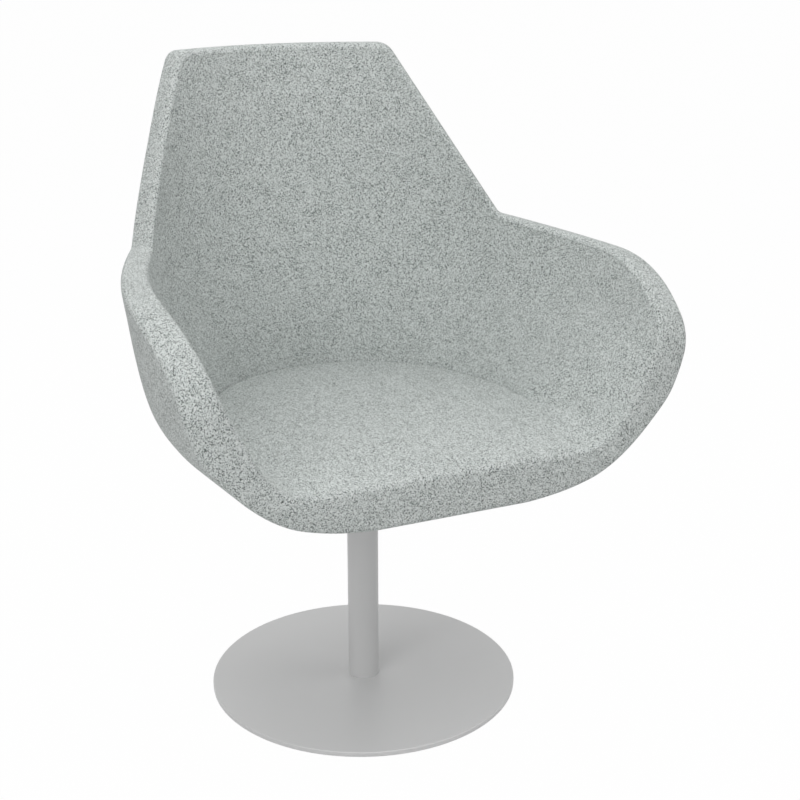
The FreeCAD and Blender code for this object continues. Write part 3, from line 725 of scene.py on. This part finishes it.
def addNode(tree, kind, settings=None, inputs=None):
    node = tree.nodes.new("ShaderNode" + kind)
    for name, setting in (settings or {}).items():
        setattr(node, name, setting)
    for name, source in (inputs or {}).items():
        if isinstance(source, bpy.types.NodeSocket):
            tree.links.new(source, node.inputs[name])
        else:
            node.inputs[name].default_value = source
    return node


def newMaterial(name):
    material = bpy.data.materials.new(name)
    material.use_nodes = True
    tree = material.node_tree
    tree.nodes.clear()
    shader = addNode(tree, "BsdfPrincipled")
    addNode(tree, "OutputMaterial", None, {"Surface": shader.outputs["BSDF"]})
    return material, tree, shader


def scaleOf(size):
    # Scale of a noise whose spots are so many millimetres across
    return 1000.0 / size


melangeWool = {
    "deep": (0.36, "#2E3433"),    # each tone, and where the yarn's noise reaches it
    "dark": (0.42, "#8B9390"),
    "pale": (0.48, "#C5CBC9"),
    "light": (0.60, "#DFE3E1"),
    # The real cloth's yarns lie closer. These are as coarse as they need to be to show.
    "thread": 1.2,         # mm between yarns
    "float": 2.4,          # mm of yarn with one tone
    "wander": 0.3,         # mm the yarns stray from a straight line
    "wanderRun": 9.0,      # mm along a yarn from one bend to the next
    "cloud": 22.0,         # mm across a darker or paler patch
    "cloudTone": 0.012,    # how far a patch moves the tone either way
    "apart": 7.31,         # steps through the noise, so that no two yarns are alike
    "warpLayer": 3.7,
    "weftLayer": 11.2,
    "roughness": 0.92,
    "specular": 0.3,
    "sheen": 0.12,         # loose fibre ends
    "sheenRoughness": 0.6,
    "relief": 0.35,
    "depth": 0.4,          # mm from the crown of a yarn to the gap beside it
}


def makeMelangeWool(s):
    # Woven melange wool: yarns spun from undyed and dark fibre, so each is pale and dark by turns.
    # The eye gets a soft matte grey, broken up by short dark dashes along and across the weave.
    material, tree, shader = newMaterial("melangeWool")
    place = addNode(tree, "TexCoord")
    stray = addNode(tree, "TexNoise", None, {
        "Vector": place.outputs["Object"], "Scale": scaleOf(s["wanderRun"]), "Detail": 1.0})
    centred = addNode(tree, "VectorMath", {"operation": "SUBTRACT"}, {
        0: stray.outputs["Color"], 1: (0.5, 0.5, 0.5)})
    reach = 4 * s["wander"] * mm    # the noise strays about a quarter either way
    shift = addNode(tree, "VectorMath", {"operation": "SCALE"}, {
        0: centred.outputs[0], "Scale": reach})
    strayed = addNode(tree, "VectorMath", {"operation": "ADD"}, {
        0: place.outputs["UV"], 1: shift.outputs[0]})
    threads = addNode(tree, "VectorMath", {"operation": "SCALE"}, {
        0: strayed.outputs[0], "Scale": scaleOf(s["thread"])})
    number = addNode(tree, "VectorMath", {"operation": "FLOOR"}, {0: threads.outputs[0]})
    parts = addNode(tree, "SeparateXYZ", None, {0: threads.outputs[0]})
    whole = addNode(tree, "SeparateXYZ", None, {0: number.outputs[0]})

    def yarn(across, run, layer):
        # One tone per yarn and stretch of it
        apart = addNode(tree, "Math", {"operation": "MULTIPLY"}, {0: across, 1: s["apart"]})
        slow = addNode(tree, "Math", {"operation": "MULTIPLY"}, {
            0: run, 1: s["thread"] / s["float"]})
        spot = addNode(tree, "CombineXYZ", None, {
            0: apart.outputs[0], 1: slow.outputs[0], 2: layer})
        tone = addNode(tree, "TexNoise", None, {
            "Vector": spot.outputs[0], "Scale": 1.0, "Detail": 2.0, "Roughness": 0.6})
        return tone.outputs["Fac"]

    warp = yarn(whole.outputs["X"], parts.outputs["Y"], s["warpLayer"])
    weft = yarn(whole.outputs["Y"], parts.outputs["X"], s["weftLayer"])
    added = addNode(tree, "Math", {"operation": "ADD"}, {
        0: whole.outputs["X"], 1: whole.outputs["Y"]})
    over = addNode(tree, "Math", {"operation": "FLOORED_MODULO"}, {0: added.outputs[0], 1: 2.0})
    tone = addNode(tree, "Mix", {"data_type": "FLOAT"}, {0: over.outputs[0], 2: weft, 3: warp})
    cloud = addNode(tree, "TexNoise", None, {
        "Vector": place.outputs["Object"], "Scale": scaleOf(s["cloud"]), "Detail": 2.0})
    patch = addNode(tree, "MapRange", None, {
        "Value": cloud.outputs["Fac"], "From Min": 0.3, "From Max": 0.7,    # it seldom leaves these
        "To Min": -s["cloudTone"], "To Max": s["cloudTone"]})
    mixed = addNode(tree, "Math", {"operation": "ADD"}, {0: tone.outputs[0], 1: patch.outputs[0]})
    ramp = addNode(tree, "ValToRGB", None, {"Fac": mixed.outputs[0]})
    stops = ramp.color_ramp.elements
    stops[0].position, stops[0].color = s["deep"][0], linear(s["deep"][1])
    stops[1].position, stops[1].color = s["light"][0], linear(s["light"][1])
    for position, colour in (s["dark"], s["pale"]):
        stops.new(position).color = linear(colour)
    tree.links.new(ramp.outputs["Color"], shader.inputs["Base Color"])
    shader.inputs["Roughness"].default_value = s["roughness"]
    shader.inputs["Specular IOR Level"].default_value = s["specular"]
    shader.inputs["Sheen Weight"].default_value = s["sheen"]
    shader.inputs["Sheen Roughness"].default_value = s["sheenRoughness"]

    def crown(run):
        # The rounded back of each yarn
        part = addNode(tree, "Math", {"operation": "FRACT"}, {0: run})
        turn = addNode(tree, "Math", {"operation": "MULTIPLY"}, {0: part.outputs[0], 1: math.pi})
        return addNode(tree, "Math", {"operation": "SINE"}, {0: turn.outputs[0]}).outputs[0]

    relief = addNode(tree, "Mix", {"data_type": "FLOAT"}, {
        0: over.outputs[0], 2: crown(parts.outputs["Y"]), 3: crown(parts.outputs["X"])})
    bump = addNode(tree, "Bump", None, {
        "Height": relief.outputs[0], "Strength": s["relief"], "Distance": s["depth"] * mm})
    tree.links.new(bump.outputs["Normal"], shader.inputs["Normal"])
    return material


silverPaint = {
    "name": "silverPowderCoat",
    "colour": "#D8D8D8",
    "roughness": 0.40,
    "spread": 0.06,    # how far the roughness strays either way
    "wear": 60.0,      # mm across a duller or shinier patch
    "peel": 1.6,       # mm between the waves of the orange peel
    "relief": 0.06,
    "depth": 0.4,
}
blackPaint = dict(silverPaint, name="blackPowderCoat", colour="#1B1B1C", roughness=0.55, peel=1.2)


def makePowderCoat(s):
    # Powder-coated steel: a soft even shine over a faint orange-peel texture
    material, tree, shader = newMaterial(s["name"])
    place = addNode(tree, "TexCoord")
    peel = addNode(tree, "TexNoise", None, {
        "Vector": place.outputs["Object"], "Scale": scaleOf(s["peel"]), "Detail": 1.0})
    wear = addNode(tree, "TexNoise", None, {
        "Vector": place.outputs["Object"], "Scale": scaleOf(s["wear"]), "Detail": 3.0})
    shine = addNode(tree, "MapRange", None, {
        "Value": wear.outputs["Fac"], "To Min": s["roughness"] - s["spread"],
        "To Max": s["roughness"] + s["spread"]})
    shader.inputs["Base Color"].default_value = linear(s["colour"])
    tree.links.new(shine.outputs[0], shader.inputs["Roughness"])
    bump = addNode(tree, "Bump", None, {
        "Height": peel.outputs["Fac"], "Strength": s["relief"], "Distance": s["depth"] * mm})
    tree.links.new(bump.outputs["Normal"], shader.inputs["Normal"])
    return material


zincPlate = {
    "pale": "#CBCDCD",
    "grey": "#AEB1B3",
    "cloud": 5.0,        # mm across a cloud in the plating
    "roughness": 0.34,
    "spread": 0.08,
}


def makeZincPlate(s):
    # Zinc-plated steel: bright metal with a slightly cloudy, bluish skin
    material, tree, shader = newMaterial("zincPlatedSteel")
    place = addNode(tree, "TexCoord")
    cloud = addNode(tree, "TexNoise", None, {
        "Vector": place.outputs["Object"], "Scale": scaleOf(s["cloud"]), "Detail": 3.0})
    tint = addNode(tree, "Mix", {"data_type": "RGBA"}, {
        0: cloud.outputs["Fac"], 6: linear(s["grey"]), 7: linear(s["pale"])})
    tree.links.new(tint.outputs[2], shader.inputs["Base Color"])
    shader.inputs["Metallic"].default_value = 1.0
    shine = addNode(tree, "MapRange", None, {
        "Value": cloud.outputs["Fac"], "To Min": s["roughness"] - s["spread"],
        "To Max": s["roughness"] + s["spread"]})
    tree.links.new(shine.outputs[0], shader.inputs["Roughness"])
    return material


naturalNylon = {
    "name": "turnedNylon",
    "colour": "#E2DECF",
    "roughness": 0.45,
    "ior": 1.49,
    "grain": 0.8,      # mm: the real grain is finer, and this is as coarse as it needs to show
    "relief": 0.05,
    "depth": 0.2,
}
moulding = dict(naturalNylon, name="sparkTexturedPolypropylene", colour="#161617",
                roughness=0.52, grain=0.7, relief=0.2)
shellMoulding = dict(naturalNylon, name="mouldedPolypropylene", colour="#2E2F30",
                     roughness=0.5, grain=2.5, relief=0.15)


def makePlastic(s):
    # Moulded or turned plastic: an even colour with a dull shine and the fine grain of its tool
    material, tree, shader = newMaterial(s["name"])
    place = addNode(tree, "TexCoord")
    grain = addNode(tree, "TexNoise", None, {
        "Vector": place.outputs["Object"], "Scale": scaleOf(s["grain"]), "Detail": 2.0})
    shader.inputs["Base Color"].default_value = linear(s["colour"])
    shader.inputs["Roughness"].default_value = s["roughness"]
    shader.inputs["IOR"].default_value = s["ior"]
    bump = addNode(tree, "Bump", None, {
        "Height": grain.outputs["Fac"], "Strength": s["relief"], "Distance": s["depth"] * mm})
    tree.links.new(bump.outputs["Normal"], shader.inputs["Normal"])
    return material


birchPlywood = {
    "pale": "#D8BE94",
    "dark": "#B08D5E",
    "veneer": 1.4,       # mm, thickness of a veneer
    "stripe": 0.15,      # how far a veneer's edge moves the tone either way
    "grain": 2.2,        # mm across a stripe of grain
    "alongGrain": 0.08,
    "waver": 0.4,
    "roughness": 0.6,
}


def makePlywood(s):
    # Birch plywood: grain along the sheet, and its veneers as pale and dark stripes on the edges
    material, tree, shader = newMaterial("birchPlywood")
    place = addNode(tree, "TexCoord")
    stretch = addNode(tree, "Mapping", None, {
        "Vector": place.outputs["Object"], "Scale": (s["alongGrain"], 1.0, 1.0)})
    grain = addNode(tree, "TexNoise", None, {
        "Vector": stretch.outputs[0], "Scale": scaleOf(s["grain"]), "Detail": 4.0,
        "Distortion": s["waver"]})
    parts = addNode(tree, "SeparateXYZ", None, {0: place.outputs["Object"]})
    layer = addNode(tree, "Math", {"operation": "PINGPONG"}, {
        0: parts.outputs["Z"], 1: s["veneer"] * mm})
    stripe = addNode(tree, "MapRange", None, {
        "Value": layer.outputs[0], "From Max": s["veneer"] * mm,
        "To Min": -s["stripe"], "To Max": s["stripe"]})
    mixed = addNode(tree, "Math", {"operation": "ADD"}, {
        0: grain.outputs["Fac"], 1: stripe.outputs[0]})
    tint = addNode(tree, "Mix", {"data_type": "RGBA"}, {
        0: mixed.outputs[0], 6: linear(s["dark"]), 7: linear(s["pale"])})
    tree.links.new(tint.outputs[2], shader.inputs["Base Color"])
    shader.inputs["Roughness"].default_value = s["roughness"]
    return material


gliderFelt = {
    "dark": "#2C2D2E",
    "light": "#4A4B4C",
    "fibre": 1.1,        # mm across a tuft: single fibres are far too fine to show
    "tangle": 2.0,
    "roughness": 0.95,
    "relief": 0.5,
    "depth": 0.5,
}


def makeFelt(s):
    # Pressed wool felt: dark matt fibres in a tangle
    material, tree, shader = newMaterial("pressedFelt")
    place = addNode(tree, "TexCoord")
    fibre = addNode(tree, "TexNoise", None, {
        "Vector": place.outputs["Object"], "Scale": scaleOf(s["fibre"]), "Detail": 3.0,
        "Distortion": s["tangle"]})
    tint = addNode(tree, "Mix", {"data_type": "RGBA"}, {
        0: fibre.outputs["Fac"], 6: linear(s["dark"]), 7: linear(s["light"])})
    tree.links.new(tint.outputs[2], shader.inputs["Base Color"])
    shader.inputs["Roughness"].default_value = s["roughness"]
    bump = addNode(tree, "Bump", None, {
        "Height": fibre.outputs["Fac"], "Strength": s["relief"], "Distance": s["depth"] * mm})
    tree.links.new(bump.outputs["Normal"], shader.inputs["Normal"])
    return material


melange = makeMelangeWool(melangeWool)
for piece in stands:
    piece.data.materials.append(melange)
finishes = {
    "silver_paint": makePowderCoat(silverPaint),
    "black_steel": makePowderCoat(blackPaint),
    "bright_steel": makeZincPlate(zincPlate),
    "bush_nylon": makePlastic(naturalNylon),
    "trim_plastic": makePlastic(moulding),
    "moulded_shell": makePlastic(shellMoulding),
    "plywood": makePlywood(birchPlywood),
    "floor_felt": makeFelt(gliderFelt),
}
replaced = {node for nodes in stands.values() for node in nodes}
for part in frame["record"]["subparts"]:
    if part["node"] not in replaced:
        for slot in frame["nodes"][part["node"]].material_slots:
            slot.material = finishes[part["material_slot"]]
print("materials made")

# Floor and light
studio = {
    "floorHalf": 25.0,         # metres
    "paper": "#E7E7E7",
    "white": "#FFFFFF",
    "floorGlow": 0.985,        # share of plain white in what the camera sees of the floor
    "worldStrength": 0.30,
    "aim": (0.0, 0.0, 0.5),    # where the lamps point
    "lamps": {                 # place, side of the square in metres, watts
        "topBack": ((0.0, 1.5, 3.0), 2.0, 27.0),
        "topFront": ((-0.2, -1.5, 3.0), 2.0, 24.0),
        "leftFront": ((-2.2, -1.7, 2.1), 2.0, 31.0),
        "right": ((2.2, -1.2, 2.2), 2.0, 13.0),
    },
}


def seenDirectly(tree):
    # 1 where the camera or a gloss sees this, and 0 where light bounces off it
    path = addNode(tree, "LightPath")
    return addNode(tree, "Math", {"operation": "MAXIMUM"}, {
        0: path.outputs["Is Camera Ray"], 1: path.outputs["Is Glossy Ray"]}).outputs[0]


def makeFloor(s):
    half = s["floorHalf"]
    mesh = bpy.data.meshes.new("floor")
    corners = [(-half, -half, 0), (half, -half, 0), (half, half, 0), (-half, half, 0)]
    mesh.from_pydata(corners, [], [(0, 1, 2, 3)])
    floor = bpy.data.objects.new("floor", mesh)
    bpy.context.collection.objects.link(floor)
    material = bpy.data.materials.new("palePaper")
    material.use_nodes = True
    tree = material.node_tree
    tree.nodes.clear()
    matte = addNode(tree, "BsdfDiffuse", None, {"Color": linear(s["paper"])})
    glow = addNode(tree, "Emission", None, {"Color": linear(s["white"]), "Strength": 1.0})
    share = addNode(tree, "Math", {"operation": "MULTIPLY"}, {
        0: seenDirectly(tree), 1: s["floorGlow"]})
    mix = addNode(tree, "MixShader", None, {
        0: share.outputs[0], 1: matte.outputs[0], 2: glow.outputs[0]})
    addNode(tree, "OutputMaterial", None, {"Surface": mix.outputs[0]})
    floor.data.materials.append(material)


def makeLight(s):
    world = bpy.data.worlds.new("studio")
    bpy.context.scene.world = world
    world.use_nodes = True
    tree = world.node_tree
    tree.nodes.clear()
    soft = addNode(tree, "Background", None, {
        "Color": linear(s["white"]), "Strength": s["worldStrength"]})
    plain = addNode(tree, "Background", None, {"Color": linear(s["white"]), "Strength": 1.0})
    mix = addNode(tree, "MixShader", None, {
        0: seenDirectly(tree), 1: soft.outputs[0], 2: plain.outputs[0]})
    addNode(tree, "OutputWorld", None, {"Surface": mix.outputs[0]})
    for name, (place, size, power) in s["lamps"].items():
        lamp = bpy.data.lights.new(name, "AREA")
        lamp.energy, lamp.size = power, size
        softbox = bpy.data.objects.new(name, lamp)
        softbox.location = place
        softbox.rotation_mode = "QUATERNION"
        look = Vector(s["aim"]) - Vector(place)
        softbox.rotation_quaternion = look.to_track_quat("-Z", "Y")
        bpy.context.collection.objects.link(softbox)


makeFloor(studio)
makeLight(studio)
bpy.context.scene.view_settings.view_transform = "Standard"
print("floor and light made")
